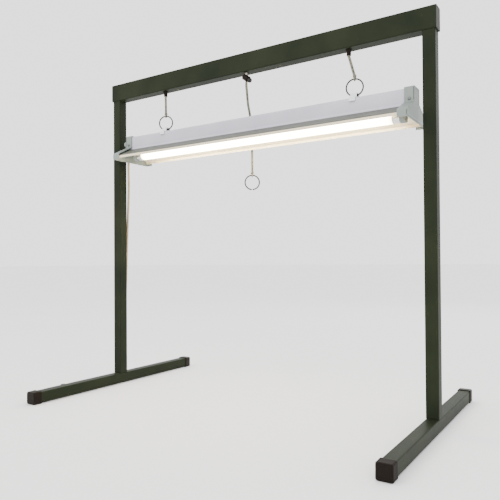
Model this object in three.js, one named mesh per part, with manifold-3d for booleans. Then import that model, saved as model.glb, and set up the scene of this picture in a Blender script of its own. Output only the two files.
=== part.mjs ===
// Two-foot grow lamp on a square-tube stand, hung from two cords that run through the crossbar.
// Millimetres, +Z up. The origin is on the floor, midway between the uprights.
// +X runs along the crossbar to the right, and -Y is the front.
import * as THREE from "three";
import { mergeVertices } from "three/addons/utils/BufferGeometryUtils.js";
import Module from "manifold-3d";

const wasm = await Module();
wasm.setup();

// ---- driving dimensions ----
const GAP = 0.3;                 // clearance kept between pieces that touch

// stand
const TUBE = 19.5;               // side of the square tube of feet and uprights
const TUBE_WALL = 1.5;
const UPRIGHT_X = 325.25;        // centre of each upright
const FOOT_LENGTH = 438;         // over the caps
const CAP_WALL = 1.5;            // slip-over foot cap, also its thickness underneath
const CAP_LENGTH = 16.5;
const CAP_END = 2;
const BAR_LENGTH = 674;
const BAR_DEPTH = 22.5;
const BAR_HEIGHT = 34.5;
const BAR_WALL = 1.2;
const BAR_TOP = 630;
const SCREW_Z = 612;

// lift cords
const CORD = 4.4;                // diameter of the braided lift cord
const HOLE_X = 196;              // side cord holes in the crossbar
const CORD_HOLE = 9;
const CENTRE_Y = -4;             // the centre hole and the cord lock sit a little to the front
const SNOUT_END = 585.7;         // lower end of the side grommets

// rings
const RING_R = 13.7;             // to the middle of the wire
const RING_WIRE = 2.4;
const RING_Z = 532.8;            // the two rings on the lamp
const RING_TURN = { left: 22, right: 10 };  // degrees about Z
const PULL_RING = [-27, 56, 406];

// lamp
const LAMP_X = 5;                // middle of the lamp
const LAMP_LENGTH = 600;
const END_LENGTH = 16;           // moulded end cap, along X
const HOUSING_W = 22;
const HOUSING_TOP = 514;
const HOUSING_BOTTOM = 487;
const SHEET = 1;
const WING_Y = 46;               // reflector lip, from the middle
const WING_Z = 470.7;
const LIP_Z = 465.5;
const CAP_Y = 48.6;              // end cap, outside
const CAP_BOTTOM = 462;
const HANGER_X = 200.5;          // saddle clips, from the middle of the lamp
const TUBE_Z = 473.2;            // axis of the fluorescent tube
const TUBE_R = 8;
const TUBE_LENGTH = 549;

// mains cord
const MAINS = 4.6;
const INLET_X = -303.5;
const INLET_Y = 3;
const HANK = { x: -358.6, y0: -148, y1: -68, outer: 18.8, height: 9.6 };  // outer: middle of a fold

const LAMP_L = LAMP_X - LAMP_LENGTH / 2;
const BAR_BOTTOM = BAR_TOP - BAR_HEIGHT;
const FOOT_TOP = CAP_WALL + TUBE;

const group = new THREE.Group();
group.name = "grow_lamp";

const COLOURS = {
  frame: { color: 0x2b332f, roughness: 0.45, metalness: 0.3 },
  cap: { color: 0x17120f, roughness: 0.6 },
  steel: { color: 0x8d9092, roughness: 0.35, metalness: 1 },
  ring: { color: 0x4b4a45, roughness: 0.3, metalness: 1 },
  white: { color: 0xd9d8de, roughness: 0.35, metalness: 0.1 },
  reflector: { color: 0xf4f2ea, roughness: 0.25 },
  plastic: { color: 0xdfe2df, roughness: 0.45 },
  glass: { color: 0xfffaf0, roughness: 0.15 },
  cord: { color: 0xcfc9b8, roughness: 0.9 },
  mains: { color: 0xe6e0d2, roughness: 0.5 },
};

// ---- helpers ----
function add(name, geometry, look, at = [0, 0, 0]) {
  const mesh = new THREE.Mesh(geometry, new THREE.MeshStandardMaterial(COLOURS[look]));
  mesh.name = name;
  mesh.position.set(...at);
  group.add(mesh);
  return mesh;
}

function toManifold(geometry) {
  const plain = geometry.clone();
  plain.deleteAttribute("normal");
  plain.deleteAttribute("uv");
  const merged = mergeVertices(plain, 1e-5);
  return new wasm.Manifold(new wasm.Mesh({
    numProp: 3,
    vertProperties: new Float32Array(merged.attributes.position.array),
    triVerts: new Uint32Array(merged.index.array),
  }));
}

function fromManifold(solid) {
  const mesh = solid.getMesh();
  const geometry = new THREE.BufferGeometry();
  geometry.setAttribute("position", new THREE.BufferAttribute(mesh.vertProperties, 3));
  geometry.setIndex(new THREE.BufferAttribute(mesh.triVerts, 1));
  geometry.computeVertexNormals();
  return geometry;
}

function cut(base, ...tools) {
  return fromManifold(tools.reduce((s, t) => s.subtract(toManifold(t)), toManifold(base)));
}

function join(first, ...others) {
  return fromManifold(others.reduce((s, t) => s.add(toManifold(t)), toManifold(first)));
}

function box(x0, x1, y0, y1, z0, z1) {
  const geometry = new THREE.BoxGeometry(x1 - x0, y1 - y0, z1 - z0);
  return geometry.translate((x0 + x1) / 2, (y0 + y1) / 2, (z0 + z1) / 2);
}

// a cylinder from one point to another
function rod(from, to, radius, sides = 20) {
  const a = new THREE.Vector3(...from);
  const b = new THREE.Vector3(...to);
  const geometry = new THREE.CylinderGeometry(radius, radius, a.distanceTo(b), sides);
  const turn = new THREE.Quaternion().setFromUnitVectors(
    new THREE.Vector3(0, 1, 0), b.clone().sub(a).normalize());
  geometry.applyQuaternion(turn);
  return geometry.translate((a.x + b.x) / 2, (a.y + b.y) / 2, (a.z + b.z) / 2);
}

// a closed profile [radius, z] turned round the Z axis
function lathe(profile, sides = 20) {
  const points = [...profile, profile[0]].map(([r, z]) => new THREE.Vector2(r, z));
  return new THREE.LatheGeometry(points, sides).rotateX(Math.PI / 2);
}

function shapeOf(points) {
  return new THREE.Shape(points.map(([a, b]) => new THREE.Vector2(a, b)));
}

function roundedRect(width, height, radius, steps = 3) {
  const points = [];
  const corners = [[1, -1, -90], [1, 1, 0], [-1, 1, 90], [-1, -1, 180]];
  for (const [sx, sy, start] of corners) {
    for (let i = 0; i <= steps; i++) {
      const angle = THREE.MathUtils.degToRad(start + (90 * i) / steps);
      points.push([sx * (width / 2 - radius) + radius * Math.cos(angle),
        sy * (height / 2 - radius) + radius * Math.sin(angle)]);
    }
  }
  return points;
}

function extrudeZ(points, z0, z1, holes = []) {
  const shape = shapeOf(points);
  shape.holes = holes.map((hole) => new THREE.Path(hole.map(([a, b]) => new THREE.Vector2(a, b))));
  return new THREE.ExtrudeGeometry(shape, { depth: z1 - z0, bevelEnabled: false }).translate(0, 0, z0);
}

// an outline in (y, z), extruded along X
function extrudeX(points, x0, x1, holes = []) {
  const geometry = extrudeZ(points, 0, x1 - x0, holes);
  geometry.applyMatrix4(new THREE.Matrix4().set(0, 0, 1, 0, 1, 0, 0, 0, 0, 1, 0, 0, 0, 0, 0, 1));
  return geometry.translate(x0, 0, 0);
}

// an outline in (x, z), extruded along Y
function extrudeY(points, y0, y1, holes = []) {
  return extrudeZ(points, 0, y1 - y0, holes).rotateX(Math.PI / 2).translate(0, y1, 0);
}

// a strip of one thickness along an open line of points, as a closed outline
function strip(line, thickness) {
  const half = thickness / 2;
  const side = (sign) => line.map(([y, z], i) => {
    const before = line[Math.max(i - 1, 0)];
    const after = line[Math.min(i + 1, line.length - 1)];
    const a = new THREE.Vector2(y - before[0], z - before[1]);
    const b = new THREE.Vector2(after[0] - y, after[1] - z);
    if (a.length() === 0) a.copy(b);
    if (b.length() === 0) b.copy(a);
    a.normalize();
    b.normalize();
    const mitre = new THREE.Vector2(-a.y - b.y, a.x + b.x).normalize();
    const reach = half / Math.max(mitre.dot(new THREE.Vector2(-a.y, a.x)), 0.3);
    return [y + sign * reach * mitre.x, z + sign * reach * mitre.y];
  });
  return [...side(-1), ...side(1).reverse()];
}

// a round cord or wire along a smooth curve through the points
function cordAlong(points, diameter, steps, sides = 8) {
  const path = new THREE.CatmullRomCurve3(points.map((p) => new THREE.Vector3(...p)), false, "centripetal");
  return sweep(path, diameter, steps, sides);
}

function sweep(path, diameter, steps, sides) {
  const section = [];
  for (let i = 0; i < sides; i++) {
    const angle = (2 * Math.PI * i) / sides;
    section.push([(diameter / 2) * Math.cos(angle), (diameter / 2) * Math.sin(angle)]);
  }
  return new THREE.ExtrudeGeometry(shapeOf(section), { steps, bevelEnabled: false, extrudePath: path });
}

function mirrored(points) {
  return [...points, ...points.map(([y, z]) => [-y, z]).reverse()];
}

const SIDES = [["left", -1], ["right", 1]];

// ---- the stand ----
function addFoot(name, x) {
  const half = FOOT_LENGTH / 2 - CAP_END - GAP;
  const middle = CAP_WALL + TUBE / 2;
  const outer = roundedRect(TUBE, TUBE, 1.6);
  const inner = roundedRect(TUBE - 2 * TUBE_WALL, TUBE - 2 * TUBE_WALL, 0.8, 2);
  const tube = extrudeY(outer, -half, half, [inner]).translate(x, 0, middle);
  const boltHole = rod([x, 0, middle], [x, 0, FOOT_TOP + 5], 3.3);
  const accessHole = rod([x, 0, -5], [x, 0, middle], 6);
  add(`foot_${name}`, cut(tube, boltHole, accessHole), "frame");

  for (const [end, dir] of [["front", -1], ["back", 1]]) {
    const side = TUBE + 2 * CAP_WALL;
    const hollow = roundedRect(TUBE + 2 * GAP, TUBE + 2 * GAP, 1.8);
    const tip = FOOT_LENGTH / 2;
    const span = dir < 0 ? [-tip, -tip + CAP_LENGTH] : [tip - CAP_LENGTH, tip];
    const cavity = dir < 0 ? [-tip + CAP_END, -tip + 2 * CAP_LENGTH] : [tip - 2 * CAP_LENGTH, tip - CAP_END];
    const shell = cut(
      extrudeY(roundedRect(side, side, 2.4), ...span),
      extrudeY(hollow, ...cavity),
    );
    add(`foot_cap_${name}_${end}`, shell, "cap", [x, 0, side / 2]);
  }
}

function addUpright(name, x) {
  const outer = roundedRect(TUBE, TUBE, 1.6);
  const inner = roundedRect(TUBE - 2 * TUBE_WALL, TUBE - 2 * TUBE_WALL, 0.8, 2);
  const bottom = FOOT_TOP + GAP;
  const top = BAR_TOP - BAR_WALL - 2 * GAP;
  const tube = extrudeZ(outer, bottom, top, [inner]).translate(x, 0, 0);
  const screwHole = rod([x, 0, SCREW_Z], [x, TUBE, SCREW_Z], 2.5);
  add(`upright_${name}`, cut(tube, screwHole), "frame");

  // threaded block in the foot of the upright, and the bolt that comes up through the foot tube
  const block = roundedRect(TUBE - 2 * TUBE_WALL - 2 * GAP, TUBE - 2 * TUBE_WALL - 2 * GAP, 0.8, 2);
  const plug = extrudeZ(block, bottom, bottom + 24).translate(x, 0, 0);
  add(`upright_nut_${name}`, cut(plug, rod([x, 0, bottom - 5], [x, 0, bottom + 30], 3.3)), "steel");
  const seat = FOOT_TOP - TUBE_WALL - GAP;
  const head = rod([x, 0, seat - 4.5], [x, 0, seat], 5, 6);
  const bolt = join(head, rod([x, 0, seat - 1], [x, 0, bottom + 20], 3));
  add(`foot_bolt_${name}`, bolt, "steel");
}

function addCrossbar() {
  const outer = roundedRect(BAR_DEPTH, BAR_HEIGHT, 1.8);
  const inner = roundedRect(BAR_DEPTH - 2 * BAR_WALL, BAR_HEIGHT - 2 * BAR_WALL, 0.8, 2);
  const half = BAR_LENGTH / 2;
  const middle = BAR_TOP - BAR_HEIGHT / 2;
  const tube = extrudeX(outer, -half, half, [inner]).translate(0, 0, middle);
  const low = BAR_BOTTOM - 5;
  const high = BAR_BOTTOM + 5;
  const tools = [rod([0, CENTRE_Y, low], [0, CENTRE_Y, high], CORD_HOLE / 2)];
  for (const [, dir] of SIDES) {
    const x = dir * UPRIGHT_X;
    const reach = TUBE / 2 + GAP;
    tools.push(rod([dir * HOLE_X, 0, low], [dir * HOLE_X, 0, high], CORD_HOLE / 2));
    tools.push(box(x - reach, x + reach, -reach, reach, low, high));
    tools.push(rod([x, 0, SCREW_Z], [x, TUBE, SCREW_Z], 2.5));
  }
  add("crossbar", cut(tube, ...tools), "frame");

  for (const [name, dir] of SIDES) {
    const play = 2 * BAR_WALL + 2 * GAP;
    const plate = roundedRect(BAR_DEPTH - play, BAR_HEIGHT - play, 0.8, 2);
    const inside = dir * (UPRIGHT_X + TUBE / 2 + GAP);
    const x = [inside, dir * half].sort((a, b) => a - b);
    add(`crossbar_end_${name}`, extrudeX(plate, ...x).translate(0, 0, middle), "cap");

    // pan-head screw through the back of the crossbar into the upright
    const back = BAR_DEPTH / 2 + GAP;
    const screw = lathe([[0, 0], [4.4, 0], [4.2, 1.4], [3, 2.4], [0, 2.7]], 16)
      .rotateX(-Math.PI / 2).translate(0, back, 0);
    const shank = rod([0, 6, 0], [0, back + 0.5, 0], 2.1, 12);
    add(`crossbar_screw_${name}`, join(screw, shank), "steel", [dir * UPRIGHT_X, 0, SCREW_Z]);
  }
}

// ---- the lift system ----
function addGrommets() {
  const bore = CORD / 2 + 0.5;
  const wall = CORD_HOLE / 2 - GAP;
  const over = BAR_BOTTOM + BAR_WALL + 1.2;
  const under = BAR_BOTTOM - GAP;
  for (const [name, dir] of SIDES) {
    const profile = [[bore, over], [bore, SNOUT_END], [bore + 0.9, SNOUT_END], [bore + 1.1, under - 1.6],
      [CORD_HOLE / 2 + 0.7, under - 1.2], [CORD_HOLE / 2 + 0.7, under], [wall, under], [wall, over]];
    add(`cord_grommet_${name}`, lathe(profile), "cap", [dir * HOLE_X, 0, 0]);
  }
  const flat = [[bore, over], [bore, under - 0.8], [CORD_HOLE / 2 + 0.7, under - 0.8],
    [CORD_HOLE / 2 + 0.7, under], [wall, under], [wall, over]];
  add("cord_grommet_centre", lathe(flat), "cap", [0, CENTRE_Y, 0]);
}

const RUN_Z = 607;               // cord runs inside the crossbar
const LOCK = [0, CENTRE_Y, 585.6];
const PULL_TOP = 577.2;

function addCordRuns() {
  for (const [name, dir] of SIDES) {
    const points = [[dir * 5, CENTRE_Y, RUN_Z], [dir * 30, -3.2, RUN_Z], [dir * 100, -1, RUN_Z],
      [dir * 170, 0, RUN_Z], [dir * 186, 0, RUN_Z - 0.8], [dir * 193, 0, RUN_Z - 4],
      [dir * HOLE_X, 0, RUN_Z - 10.5], [dir * HOLE_X, 0, SNOUT_END + 5], [dir * HOLE_X, 0, SNOUT_END]];
    add(`cord_run_${name}`, cordAlong(points, CORD, 44), "cord");
  }
  // the two runs are knotted together over the centre hole, and one cord goes on through the lock
  const ball = new THREE.SphereGeometry(3.9, 16, 10).rotateX(Math.PI / 2).translate(0, 0, RUN_Z);
  const tail = rod([0, 0, PULL_TOP + 2 * GAP], [0, 0, RUN_Z - 2], CORD / 2, 12);
  add("cord_knot", join(ball, tail), "cord", [0, CENTRE_Y, 0]);
}

// one side cord, from the grommet's end down to the knot on its ring
function addLiftCord(name, dir) {
  const ringTop = RING_Z + RING_R + RING_WIRE / 2 + GAP;
  const x0 = dir * HOLE_X;
  const x1 = LAMP_X + dir * HANGER_X;
  const start = [x0, 0, SNOUT_END - 2 * GAP];
  const knot = [x1, 0, ringTop + 3];
  const ball = new THREE.SphereGeometry(3.1, 14, 10).rotateX(Math.PI / 2).translate(...knot);
  add(`lift_cord_${name}`, join(rod(start, knot, CORD / 2, 12), ball), "cord");
}

function addPullCord() {
  const [x, y, z] = PULL_RING;
  const ringTop = z + RING_R + RING_WIRE / 2 + GAP;
  const points = [[0, CENTRE_Y, PULL_TOP], [0, CENTRE_Y, 572], [-2, 1, 562], [-9, 15, 545], [-18, 36, 528],
    [-25, 51, 512], [x, y, 492], [x, y, 455], [x, y, ringTop + 3]];
  const ball = new THREE.SphereGeometry(3.1, 14, 10).rotateX(Math.PI / 2).translate(x, y, ringTop + 3);
  add("pull_cord", join(cordAlong(points, CORD, 26), ball), "cord");
}

// a split ring that stands upright, its gap at the bottom, turned about Z
function ringGeometry(turn) {
  class Arc extends THREE.Curve {
    getPoint(t, target = new THREE.Vector3()) {
      const angle = THREE.MathUtils.degToRad(-84 + 348 * t);
      return target.set(RING_R * Math.cos(angle), 0, RING_R * Math.sin(angle));
    }
  }
  return sweep(new Arc(), RING_WIRE, 36, 8).rotateZ(THREE.MathUtils.degToRad(turn));
}

// spring cord lock: a barrel with a plunger along LOCK_AXIS, the cord passing straight down through it
const LOCK_ANGLE = Math.atan2(3, 4);
const LOCK_R = 5.5;
const PLUNGER_R = 4.1;

function alongLock(geometry) {
  return geometry.rotateY(Math.PI / 2 + LOCK_ANGLE).translate(...LOCK);
}

function addCordLock() {
  const barrel = alongLock(lathe([[0, -6], [LOCK_R - 0.8, -6], [LOCK_R, -5.2], [LOCK_R, 6],
    [PLUNGER_R + GAP, 6], [PLUNGER_R + GAP, -4.6], [0, -4.6]], 24));
  const [x, y, z] = LOCK;
  const cordHole = rod([x, y, z - 12], [x, y, z + 12], CORD / 2 + 0.6, 16);
  add("cord_lock_barrel", cut(barrel, cordHole), "cap");

  const plunger = lathe([[0, -1], [PLUNGER_R, -1], [PLUNGER_R, 10.6],
    [PLUNGER_R - 0.9, 11.6], [0, 11.9]], 24);
  const slot = box(-10, 10, -CORD / 2 - 0.6, CORD / 2 + 0.6, -3, 8.4);
  add("cord_lock_button", alongLock(cut(plunger, slot)), "cap");
}

// ---- the lamp ----
function housingOutline() {
  const y = HOUSING_W / 2 - SHEET / 2;
  const half = [[y + 1.4, HOUSING_BOTTOM], [y + 1.4, HOUSING_BOTTOM + 1], [y, HOUSING_BOTTOM + 3],
    [y, HOUSING_TOP - 2], [y - 1.5, HOUSING_TOP - SHEET / 2]];
  return strip(mirrored(half), SHEET);
}

function addHousing() {
  const reach = LAMP_LENGTH / 2 - 2.2;
  const shell = extrudeX(housingOutline(), LAMP_X - reach, LAMP_X + reach);
  add("lamp_housing", shell, "white");
}

function addReflector() {
  const reach = LAMP_LENGTH / 2 - 2.6;
  const sheet = 0.9;
  const flat = HOUSING_BOTTOM - GAP - sheet / 2;
  const half = [[WING_Y - 2.4, LIP_Z + 0.6], [WING_Y, LIP_Z + 0.6], [WING_Y, WING_Z], [14, flat]];
  add("reflector", extrudeX(strip(mirrored(half), sheet), LAMP_X - reach, LAMP_X + reach), "reflector");
}

// moulded end cap: a hollow house-shaped shell, closed at the end and open below
function addEndCap(name, dir) {
  const wall = 1.5;
  const top = HOUSING_TOP + GAP + wall;
  const w = HOUSING_W / 2 + GAP + wall;
  const outer = mirrored([[CAP_Y, CAP_BOTTOM], [CAP_Y, 473.6], [w, 492], [w, top - 1], [w - 1, top]]);
  const iw = w - wall;
  const inner = mirrored([[CAP_Y - wall, CAP_BOTTOM - 5], [CAP_Y - wall, 472.6],
    [iw, 491.4], [iw, top - wall]]);
  const end = LAMP_X + dir * LAMP_LENGTH / 2;
  const plate = end - dir * 1.9;
  const mouth = end - dir * END_LENGTH;
  const span = [end, mouth].sort((a, b) => a - b);
  const cavity = [plate, mouth - dir * 5].sort((a, b) => a - b);
  const tools = [extrudeX(inner, ...cavity)];
  if (dir < 0) tools.push(rod([end - 5, INLET_Y - 3, 502], [end + 5, INLET_Y - 3, 502], 3.6));
  add(`lamp_end_cap_${name}`, cut(extrudeX(outer, ...span), ...tools), "plastic");

  // self-tapping screw that holds the cap to the front of the housing
  const x = end - dir * END_LENGTH / 2;
  const head = lathe([[0, 0], [2.6, 0], [2.2, 1.1], [0, 1.5]], 14).rotateX(Math.PI / 2);
  add(`end_cap_screw_${name}`, head, "steel", [x, -w - GAP, 497]);
}

// saddle clip pressed over the housing, with a raised bridge that the ring hangs under
function addHanger(name, dir) {
  const x = LAMP_X + dir * HANGER_X;
  const t = 1.1;
  const y = HOUSING_W / 2 + GAP + t / 2;
  const over = HOUSING_TOP + GAP + t / 2;
  const half = [[y + 1.8, over - 7.2], [y, over - 6.2], [y, over - 1.5], [y - 1.5, over], [6.4, over],
    [4.6, over + 6.6], [3.2, over + 7.7]];
  add(`hanger_clip_${name}`, extrudeX(strip(mirrored(half), t), x - 5.5, x + 5.5), "plastic");
  add(`hanger_ring_${name}`, ringGeometry(RING_TURN[name]), "ring", [x, 0, RING_Z]);
}

// G5 lampholder: a block under the reflector that holds one end of the tube
function addLampholder(name, dir) {
  const face = LAMP_X + dir * (TUBE_LENGTH / 2 + GAP);
  const back = face + dir * 8.4;
  const top = HOUSING_BOTTOM - GAP - 0.9 - GAP;
  const points = [[-9, top], [-9, TUBE_Z]];
  for (let i = 1; i < 8; i++) {
    const angle = Math.PI + (Math.PI * i) / 8;
    points.push([9 * Math.cos(angle), TUBE_Z + 9 * Math.sin(angle)]);
  }
  points.push([9, TUBE_Z], [9, top]);
  const block = extrudeX(points, ...[face, back].sort((a, b) => a - b));
  const socket = rod([face - dir, 0, TUBE_Z], [face + dir * 7, 0, TUBE_Z], 5.6, 24);
  add(`lampholder_${name}`, cut(block, socket), "plastic");

  // the round rotor that takes the two pins and turns with the tube
  const rotor = rod([face + dir * 0.4, 0, TUBE_Z], [face + dir * 6.6, 0, TUBE_Z], 5.2, 24);
  const depth = [face + dir * 0.2, face + dir * 5].sort((a, b) => a - b);
  const slot = box(...depth, -3.7, 3.7, TUBE_Z - 1.5, TUBE_Z + 1.5);
  add(`pin_rotor_${name}`, cut(rotor, slot), "plastic");
}

function addFluorescentTube() {
  const half = TUBE_LENGTH / 2;
  const ferrule = 12;
  const glass = rod([LAMP_X - half + ferrule + GAP, 0, TUBE_Z], [LAMP_X + half - ferrule - GAP, 0, TUBE_Z],
    TUBE_R, 32);
  add("tube_glass", glass, "glass");
  for (const [name, dir] of SIDES) {
    const end = LAMP_X + dir * half;
    const body = rod([end - dir * ferrule, 0, TUBE_Z], [end, 0, TUBE_Z], TUBE_R, 32);
    const pinX = [end - dir * 2, end + dir * 4.6];
    const pins = [-2.4, 2.4].map((y) => rod([pinX[0], y, TUBE_Z], [pinX[1], y, TUBE_Z], 1.1, 10));
    add(`tube_ferrule_${name}`, join(body, ...pins), "steel");
  }
}

function addBallast() {
  const block = extrudeX(roundedRect(17.5, 16, 1.5), LAMP_X - 95, LAMP_X + 95);
  add("ballast", block, "white", [0, 0, 500.5]);
}

// angled inlet on the left end, with the strain relief that points down
function addInlet() {
  const end = LAMP_L - GAP;
  const neck = rod([end + 4, INLET_Y - 3, 502], [end - 3, INLET_Y - 3, 502], 3.3);
  const knob = rod([end, INLET_Y - 3, 502], [end - 12.4, INLET_Y - 3, 502], 6.2, 24);
  add("power_inlet", join(knob, neck), "plastic");
  const relief = lathe([[0, -21], [3.2, -21], [4.2, -3], [4.2, 0], [0, 0]], 16);
  add("strain_relief", relief, "mains", [INLET_X, INLET_Y, 495.3]);
}

// ---- the mains cord ----
const CORD_START = 474;
const MAINS_ROUTE = [
  [INLET_X, INLET_Y, CORD_START], [INLET_X, INLET_Y, 462], [-305, 4.5, 445], [-309.5, 9.5, 420],
  [-316, 15, 385], [-322, 18.5, 340], [-327, 20.5, 280], [-331, 21.8, 210], [-335, 22.5, 150],
  [-338.5, 23.2, 100], [-341, 22.8, 62], [-341.8, 18.5, 36], [-341.8, 8, 15], [-341.4, -8, 5],
  [-340.6, -26, 2.7], [HANK.x + HANK.outer, -54.5, 2.5],
];
const TAIL_ROUTE = [
  [HANK.x - HANK.outer, -54.6, 7.1], [HANK.x - HANK.outer, -44, 6.4], [-376.6, -30, 4.2], [-374.8, -14, 2.7],
  [-369, 6, 2.5], [-361, 26, 2.6], [-355, 44, 3.8], [-352, 58, 6], [-352, 66, 6.9],
];

function addMainsCord() {
  add("mains_cord", cordAlong(MAINS_ROUTE, MAINS, 66, 8), "mains");
  add("mains_cord_tail", cordAlong(TAIL_ROUTE, MAINS, 20, 8), "mains");

  // the spare length, folded into a hank behind the left foot and held by a tie
  const outer = HANK.outer + MAINS / 2;
  const outline = [];
  for (const [y, start] of [[HANK.y1, 0], [HANK.y0, 180]]) {
    for (let i = 0; i <= 12; i++) {
      const angle = THREE.MathUtils.degToRad(start + 15 * i);
      outline.push([HANK.x + outer * Math.cos(angle), y + outer * Math.sin(angle)]);
    }
  }
  add("mains_cord_hank", extrudeZ(outline, 0.2, HANK.height), "mains");
  const middle = (HANK.y0 + HANK.y1) / 2;
  const ring = cut(
    box(-outer - 1.3, outer + 1.3, middle - 3, middle + 3, 0.01, HANK.height + 1.3),
    box(-outer - GAP, outer + GAP, middle - 5, middle + 5, -1, HANK.height + GAP),
  );
  add("cord_tie", ring, "cap", [HANK.x, 0, 0]);

  const body = extrudeY(roundedRect(24, 13.6, 4), 66 + GAP + 14, 66 + GAP + 44);
  const neck = lathe([[0, 0], [2.6, 0], [5.4, 15], [0, 15]], 14)
    .rotateX(-Math.PI / 2).translate(0, 66 + GAP, 0);
  const blades = [-6.35, 6.35].map((x) => box(x - 0.8, x + 0.8, 105, 66 + GAP + 60, -3.2, 3.2));
  add("mains_plug", join(body, neck, ...blades), "cap", [-352, 0, 6.9]);
}

// ---- the whole lamp ----
for (const [name, dir] of SIDES) {
  addFoot(name, dir * UPRIGHT_X);
  addUpright(name, dir * UPRIGHT_X);
}
addCrossbar();
addGrommets();
addCordRuns();
for (const [name, dir] of SIDES) addLiftCord(name, dir);
addPullCord();
add("pull_ring", ringGeometry(32), "ring", PULL_RING);
addCordLock();
addHousing();
addReflector();
for (const [name, dir] of SIDES) {
  addEndCap(name, dir);
  addHanger(name, dir);
  addLampholder(name, dir);
}
addFluorescentTube();
addBallast();
addInlet();
addMainsCord();

export default group;
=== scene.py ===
import math

import bmesh
import bpy
from mathutils import Matrix, Vector


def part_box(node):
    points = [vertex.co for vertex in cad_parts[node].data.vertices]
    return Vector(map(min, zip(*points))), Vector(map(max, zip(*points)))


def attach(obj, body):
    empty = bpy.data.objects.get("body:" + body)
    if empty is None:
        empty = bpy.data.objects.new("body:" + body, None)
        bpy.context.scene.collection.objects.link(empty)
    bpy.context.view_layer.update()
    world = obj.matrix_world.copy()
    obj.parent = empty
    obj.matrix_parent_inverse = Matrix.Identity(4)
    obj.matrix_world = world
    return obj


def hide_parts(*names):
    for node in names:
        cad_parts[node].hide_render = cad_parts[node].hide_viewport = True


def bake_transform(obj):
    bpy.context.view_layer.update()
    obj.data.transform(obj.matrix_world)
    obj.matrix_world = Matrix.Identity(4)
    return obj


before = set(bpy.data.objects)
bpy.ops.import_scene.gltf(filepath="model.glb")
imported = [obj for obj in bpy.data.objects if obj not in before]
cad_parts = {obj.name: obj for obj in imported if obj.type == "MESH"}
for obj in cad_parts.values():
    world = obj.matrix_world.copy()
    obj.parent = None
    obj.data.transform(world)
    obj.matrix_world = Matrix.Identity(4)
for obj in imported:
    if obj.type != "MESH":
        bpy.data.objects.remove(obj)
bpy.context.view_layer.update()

MM = 0.001
SIDES = [("left", -1), ("right", 1)]


def centre(node):
    """Middle of a CAD node's box, in millimetres."""
    lo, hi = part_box(node)
    return (Vector(lo) + Vector(hi)) / 2 / MM


def top_of(node):
    """Height of the top of a CAD node's box, in millimetres."""
    return Vector(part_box(node)[1]).z / MM


def half_length(node):
    """Half of a CAD node's length along X, in millimetres."""
    lo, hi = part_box(node)
    return (hi[0] - lo[0]) / 2 / MM


# ---- camera: place in metres, angles in radians ----
CAMERA_AT = (0.5414, -0.8324, 0.2534)
YAW, PITCH, ROLL = 0.5773, 0.0124, -0.006
forward = Vector((
    -math.sin(YAW) * math.cos(PITCH),
    math.cos(YAW) * math.cos(PITCH),
    math.sin(PITCH),
))
right = Vector((math.cos(YAW), math.sin(YAW), 0))
up = right.cross(forward)
right_r = right * math.cos(ROLL) + up * math.sin(ROLL)
up_r = up * math.cos(ROLL) - right * math.sin(ROLL)

camera_data = bpy.data.cameras.new("camera")
camera_data.sensor_width = 36
camera_data.lens = 39.6
camera_data.shift_x = 0.0036
camera_data.shift_y = 0.0102
camera = bpy.data.objects.new("camera", camera_data)
camera.matrix_world = Matrix.LocRotScale(
    Vector(CAMERA_AT),
    Matrix((right_r, up_r, -forward)).transposed().to_quaternion(),
    None)
bpy.context.scene.collection.objects.link(camera)
bpy.context.scene.camera = camera


# ---- materials ----
def new_material(name, roughness=0.5, metallic=0.0):
    material = bpy.data.materials.new(name)
    material.use_nodes = True
    shader = material.node_tree.nodes["Principled BSDF"]
    shader.inputs["Roughness"].default_value = roughness
    shader.inputs["Metallic"].default_value = metallic
    return material, material.node_tree.nodes, material.node_tree.links, shader


def noise_of(nodes, links, vector, scale, detail=3.0):
    noise = nodes.new("ShaderNodeTexNoise")
    noise.inputs["Scale"].default_value = scale
    noise.inputs["Detail"].default_value = detail
    links.new(vector, noise.inputs["Vector"])
    return noise.outputs["Fac"]


def ramp_of(nodes, links, value, stops):
    ramp = nodes.new("ShaderNodeValToRGB")
    elements = ramp.color_ramp.elements
    while len(elements) < len(stops):
        elements.new(0.5)
    for element, (position, colour) in zip(elements, stops):
        element.position = position
        element.color = (*colour, 1)
    links.new(value, ramp.inputs["Fac"])
    return ramp.outputs["Color"]


def range_of(nodes, links, value, low, high, out_low, out_high):
    change = nodes.new("ShaderNodeMapRange")
    sockets = ("From Min", "From Max", "To Min", "To Max")
    for socket, number in zip(sockets, (low, high, out_low, out_high)):
        change.inputs[socket].default_value = number
    links.new(value, change.inputs["Value"])
    return change.outputs["Result"]


def math_of(nodes, links, operation, a, b=None):
    node = nodes.new("ShaderNodeMath")
    node.operation = operation
    for socket, value in zip(node.inputs, (a, b)):
        if isinstance(value, (int, float)):
            socket.default_value = value
        elif value is not None:
            links.new(value, socket)
    return node.outputs["Value"]


def bump_of(nodes, links, height, distance, strength, shader):
    bump = nodes.new("ShaderNodeBump")
    bump.inputs["Distance"].default_value = distance
    bump.inputs["Strength"].default_value = strength
    links.new(height, bump.inputs["Height"])
    links.new(bump.outputs["Normal"], shader.inputs["Normal"])


def grained(name, dark, light, rough, grain, depth, patch=14.0, metallic=0.0, strength=0.5):
    """A surface whose colour drifts slowly, with a fine grain in its bump and roughness."""
    material, nodes, links, shader = new_material(name, metallic=metallic)
    coords = nodes.new("ShaderNodeTexCoord").outputs["Object"]
    slow = noise_of(nodes, links, coords, patch, 4)
    colour = ramp_of(nodes, links, slow, [(0.32, dark), (0.68, light)])
    links.new(colour, shader.inputs["Base Color"])
    fine = noise_of(nodes, links, coords, grain, 2)
    links.new(range_of(nodes, links, fine, 0.3, 0.7, *rough), shader.inputs["Roughness"])
    bump_of(nodes, links, fine, depth, strength, shader)
    return material, shader


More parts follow.
